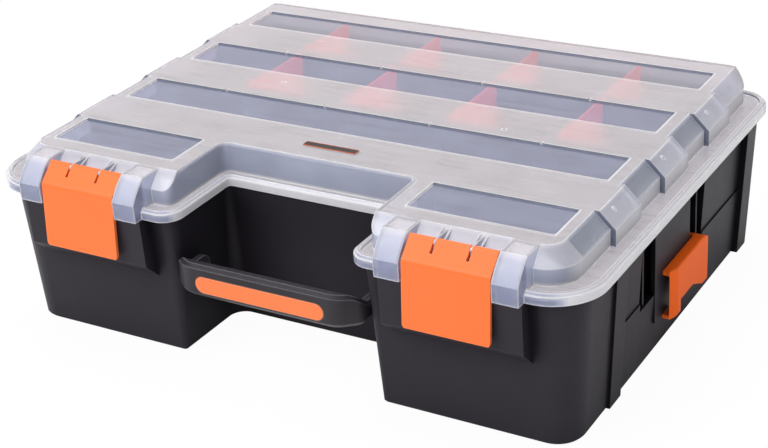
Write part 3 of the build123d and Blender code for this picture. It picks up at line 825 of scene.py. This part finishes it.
@dataclass(frozen=True)
class MouldNubs:
    """The small nub on the slope of each side band, in millimetres."""

    count: int = 3
    pitch: float = 69.3
    # Middle of the right nub on the front band
    first: tuple[float, float, float] = (177.6, -67.95, 110.4)
    radius: float = 2.1
    height: float = 0.9
    tilt_deg: float = 45.0
    segments: int = 16
    rings: int = 8

    def build(self, material: bpy.types.Material) -> bpy.types.Object:
        """Builds the nubs of both sides as one plain mesh.

        Args:
            material: The finish of the lid.

        Returns:
            The object with all nubs.
        """
        tree = bpy.data.node_groups.new("mould_nubs", "GeometryNodeTree")
        values = {
            "Count": ("NodeSocketInt", self.count),
            "Pitch": ("NodeSocketFloat", self.pitch * MM),
            "Radius": ("NodeSocketFloat", self.radius * MM),
            "Height": ("NodeSocketFloat", self.height * MM),
        }
        sockets = {
            name: tree.interface.new_socket(name, in_out="INPUT", socket_type=kind)
            for name, (kind, _) in values.items()
        }
        tree.interface.new_socket("Geometry", in_out="OUTPUT", socket_type="NodeSocketGeometry")
        given = tree.nodes.new("NodeGroupInput")
        offset = add_node(tree, "ShaderNodeCombineXYZ", {"Y": given.outputs["Pitch"]})
        size = add_node(
            tree,
            "ShaderNodeCombineXYZ",
            {
                "X": given.outputs["Radius"],
                "Y": given.outputs["Radius"],
                "Z": given.outputs["Height"],
            },
        )
        ball = add_node(
            tree,
            "GeometryNodeMeshUVSphere",
            {"Segments": self.segments, "Rings": self.rings, "Radius": 1.0},
        )
        smooth = add_node(tree, "GeometryNodeSetShadeSmooth", {"Geometry": ball.outputs["Mesh"]})
        join = tree.nodes.new("GeometryNodeJoinGeometry")
        for side in Side:
            x, y, z = (value * MM for value in self.first)
            row = add_node(
                tree,
                "GeometryNodeMeshLine",
                {
                    "Count": given.outputs["Count"],
                    "Start Location": (side.value * x, y, z),
                    "Offset": offset.outputs["Vector"],
                },
            )
            placed = add_node(
                tree,
                "GeometryNodeInstanceOnPoints",
                {
                    "Points": row.outputs["Mesh"],
                    "Instance": smooth.outputs["Geometry"],
                    "Rotation": (0.0, side.value * math.radians(self.tilt_deg), 0.0),
                    "Scale": size.outputs["Vector"],
                },
            )
            tree.links.new(placed.outputs["Instances"], join.inputs["Geometry"])
        plain = add_node(
            tree, "GeometryNodeRealizeInstances", {"Geometry": join.outputs["Geometry"]}
        )
        coated = add_node(
            tree,
            "GeometryNodeSetMaterial",
            {"Geometry": plain.outputs["Geometry"], "Material": material},
        )
        result = tree.nodes.new("NodeGroupOutput")
        tree.links.new(coated.outputs["Geometry"], result.inputs["Geometry"])
        inputs = {sockets[name].identifier: value for name, (_, value) in values.items()}
        return self.as_mesh(tree, inputs)

    @staticmethod
    def as_mesh(tree: bpy.types.NodeTree, inputs: dict[str, float]) -> bpy.types.Object:
        """Runs a geometry tree once and keeps its result as a plain mesh.

        Args:
            tree: The geometry tree.
            inputs: Value of each of its inputs, by the socket's identifier.

        Returns:
            The object with the finished mesh and no modifier.
        """
        piece = bpy.data.objects.new(tree.name, bpy.data.meshes.new(tree.name))
        bpy.context.scene.collection.objects.link(piece)
        modifier = piece.modifiers.new(tree.name, "NODES")
        modifier.node_group = tree
        for identifier, value in inputs.items():
            modifier[identifier] = value
        seen = piece.evaluated_get(bpy.context.evaluated_depsgraph_get())
        mesh = bpy.data.meshes.new_from_object(seen)
        piece.modifiers.remove(modifier)
        piece.data = mesh
        log.info("%s: %d faces", piece.name, len(mesh.polygons))
        return piece


@dataclass
class Lid:
    """The frosted lid with its panes and small marks, in millimetres."""

    row_panes: tuple[Rectangle, ...] = (
        (0.0, -27.85, 163.3, 15.5),
        (0.0, 41.45, 163.3, 15.5),
        (0.0, 108.95, 163.3, 13.7),
    )
    bin_pane: Rectangle = (120.8, -97.85, 43.5, 15.5)
    band_y: tuple[float, ...] = (-62.65, 6.65, 75.95)
    band_half: float = 17.5
    # Middle and half width of the slopes
    slope_x: tuple[float, float] = (177.6, 6.2)
    # Half width of the painted shade line at each step of the bands
    step_half: float = 0.35
    marks: tuple[tuple[float, float, float], ...] = ((-82.0, 12.35, 113.9), (81.0, -2.65, 113.9))
    plate: Rectangle = (0.0, -63.85, 18.0, 2.8)

    def finish(self) -> FrostedPlastic:
        """Gives the lid's finish, with the areas that follow from its sizes."""
        x, half_x = self.slope_x
        # Painted shade lines at the steps of the bands
        steps = tuple((x, y - self.band_half, half_x, self.step_half) for y in self.band_y)
        gap = (self.band_y[1] - self.band_y[0]) / 2
        # The slopes between the bands
        thin = tuple((x, y - gap, half_x, gap - self.band_half) for y in self.band_y)
        return FrostedPlastic(
            "frosted_polypropylene", (*self.row_panes, self.bin_pane), thin, steps, self.marks
        )

    def dress(self, nodes: Nodes) -> None:
        """Dresses the lid and its blank plate, and adds the nubs."""
        frosted = self.finish().build()
        dress(nodes["lid"], frosted)
        dress(nodes["lid_badge"], BlankPlate(self.plate).build())
        nubs = MouldNubs().build(frosted)
        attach(nubs, "lid")


@dataclass
class Latches:
    """The two folded latches."""

    finish: MouldedPlastic = MouldedPlastic(
        name="orange_moulded_polypropylene",
        colour="#FF7020",
        # Paler tone of the clouds and of the painted edge highlight
        edge_colour="#FFB487",
        roughness=0.38,
        edge_share=0.45,
        cloud_share=0.06,
    )

    def dress(self, nodes: Nodes) -> None:
        """Dresses both latches."""
        material = self.finish.build()
        for side in Side:
            dress(nodes[f"latch_{side.name.lower()}"], material)


@dataclass
class Grip:
    """The swinging grip and its inlay."""

    finish: MouldedPlastic = MouldedPlastic(
        name="black_grip_polypropylene",
        colour="#221F24",
        # Paler tone of the clouds and of a strong painted highlight along the grip's edges
        edge_colour="#8E8C94",
        roughness=0.36,
        specular=0.2,
        edge_share=0.85,
        edge_mm=1.0,
    )
    inlay: MouldedPlastic = MouldedPlastic(
        name="orange_inlay_polypropylene",
        colour="#FF7A3A",
        # Paler tone of the clouds and of the painted edge highlight
        edge_colour="#FFC09A",
        roughness=0.4,
        cloud_share=0.06,
    )

    def dress(self, nodes: Nodes) -> None:
        """Dresses the grip and the inlay."""
        dress(nodes["handle_grip"], self.finish.build())
        dress(nodes["handle_inlay"], self.inlay.build())


@dataclass
class SideClips:
    """The sliding clips on both side walls."""

    finish: MouldedPlastic = MouldedPlastic(
        name="red_orange_clip_polypropylene",
        colour="#FF6A16",
        # Paler tone of the clouds and of the painted edge highlight
        edge_colour="#FFA070",
        roughness=0.45,
        cloud_share=0.04,
        specular=0.1,
    )

    def dress(self, nodes: Nodes) -> None:
        """Dresses both clips."""
        material = self.finish.build()
        for side in Side:
            dress(nodes[f"side_clip_{side.name.lower()}"], material)


@dataclass
class Dividers:
    """The loose coral dividers."""

    rows: int = 2
    columns: int = 4
    finish: MouldedPlastic = MouldedPlastic(
        name="coral_divider_polypropylene",
        colour="#FF5A50",
        # Paler tone of the clouds and of the painted edge highlight
        edge_colour="#FF9A90",
        roughness=0.35,
        light_through=0.35,
        # Painted glow in the dividers' own colour
        painted_glow=0.27,
    )

    def dress(self, nodes: Nodes) -> None:
        """Dresses every divider."""
        material = self.finish.build()
        for row in range(1, self.rows + 1):
            for column in range(1, self.columns + 1):
                dress(nodes[f"divider_row{row}_{column}"], material)


@dataclass(frozen=True)
class Lamp:
    """One soft studio lamp, aimed at the middle of the case."""

    name: str
    place: tuple[float, float, float]
    size: float
    watts: float

    def build(self, target: Vector) -> None:
        """Builds the lamp.

        Args:
            target: The point that the lamp faces.
        """
        data = bpy.data.lights.new(self.name, "AREA")
        data.shape = "SQUARE"
        data.size = self.size
        data.energy = self.watts
        lamp = bpy.data.objects.new(self.name, data)
        bpy.context.scene.collection.objects.link(lamp)
        lamp.location = self.place
        lamp.rotation_euler = (target - Vector(self.place)).to_track_quat("-Z", "Y").to_euler()


@dataclass
class Studio:
    """White floor, soft lamps and the camera at the view of the photograph.

    The surroundings are dimmer on the right, so the right wall of the case is darker than its
    front.
    """

    camera_place: tuple[float, float, float] = (0.48976, -0.80714, 0.50671)
    azimuth: float = 31.61
    elevation: float = 26.53
    roll: float = -3.89
    lens: float = 78.92
    sensor_mm: float = 36.0
    clip_range: tuple[float, float] = (0.05, 50.0)
    aim: tuple[float, float, float] = (0.0, 0.0, 0.06)
    floor_half: float = 20.0
    world_strength: float = 0.74
    right_shade: float = 0.55
    floor_glow: float = 0.96
    lamps: tuple[Lamp, ...] = (
        Lamp("key_lamp", (-0.8, -1.3, 1.3), 1.2, 14.0),
        Lamp("top_lamp", (-0.1, 0.3, 1.8), 1.6, 18.0),
    )

    def build(self) -> None:
        """Builds the whole studio."""
        self.make_camera()
        self.make_floor()
        self.make_world()
        for lamp in self.lamps:
            lamp.build(Vector(self.aim))

    def make_camera(self) -> None:
        """Makes the camera from the fitted view."""
        angles = (self.azimuth, self.elevation, self.roll)
        around, above, turn = (math.radians(angle) for angle in angles)
        level = math.cos(above)
        back = Vector((math.sin(around) * level, -math.cos(around) * level, math.sin(above)))
        level_right = (-back).cross(Vector((0, 0, 1))).normalized()
        level_up = level_right.cross(-back)
        right = math.cos(turn) * level_right + math.sin(turn) * level_up
        up = -math.sin(turn) * level_right + math.cos(turn) * level_up
        data = bpy.data.cameras.new("studio_camera")
        data.lens = self.lens
        data.sensor_width = self.sensor_mm
        data.clip_start, data.clip_end = self.clip_range
        camera = bpy.data.objects.new("studio_camera", data)
        bpy.context.scene.collection.objects.link(camera)
        turned = Matrix((right, up, back)).transposed().to_4x4()
        camera.matrix_world = Matrix.Translation(self.camera_place) @ turned
        bpy.context.scene.camera = camera

    def make_floor(self) -> None:
        """Makes the plain white floor, which keeps the shadow of the case."""
        mesh = bpy.data.meshes.new("studio_floor")
        half = self.floor_half
        corners = [(-half, -half, 0), (half, -half, 0), (half, half, 0), (-half, half, 0)]
        mesh.from_pydata(corners, [], [(0, 1, 2, 3)])
        floor = bpy.data.objects.new("studio_floor", mesh)
        bpy.context.scene.collection.objects.link(floor)
        material, tree, surface = new_material("studio_floor_paint")
        matt = add_node(tree, "ShaderNodeBsdfDiffuse", {"Color": linear("#F4F4F4")})
        seen = ray_is(tree, "Camera", "Transmission")
        glow = add_node(tree, "ShaderNodeEmission", {"Color": linear("#FFFFFF"), "Strength": 1.0})
        share = math_of(tree, "MULTIPLY", seen, self.floor_glow)
        mixed = blend_shaders(tree, share, matt.outputs["BSDF"], glow.outputs["Emission"])
        tree.links.new(mixed, surface)
        mesh.materials.append(material)

    def make_world(self) -> None:
        """Makes the surroundings, which look pure white and light the case less from the right."""
        world = bpy.data.worlds.new("studio_world")
        bpy.context.scene.world = world
        world.use_nodes = True
        tree = world.node_tree
        tree.nodes.clear()
        seen = ray_is(tree, "Camera", "Transmission")
        way = axes_of(tree, add_node(tree, "ShaderNodeTexCoord").outputs["Generated"])
        right = math_of(tree, "MAXIMUM", way["X"], 0.0)
        loss = -self.right_shade * self.world_strength
        given = math_of(tree, "MULTIPLY_ADD", right, loss, self.world_strength)
        strength = blend_values(tree, seen, given, 1.0)
        light = add_node(
            tree, "ShaderNodeBackground", {"Color": linear("#FFFFFF"), "Strength": strength}
        )
        output = add_node(tree, "ShaderNodeOutputWorld")
        tree.links.new(light.outputs["Background"], output.inputs["Surface"])


def main() -> None:
    """Builds the scene and reports each piece."""
    logging.basicConfig(level=logging.INFO, format="%(name)s: %(message)s")
    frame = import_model()
    bpy.context.scene.view_settings.view_transform = "Standard"
    for assembly in (Tub(), Lid(), Latches(), Grip(), SideClips(), Dividers()):
        assembly.dress(frame["nodes"])
    Studio().build()


if __name__ == "__main__":
    main()
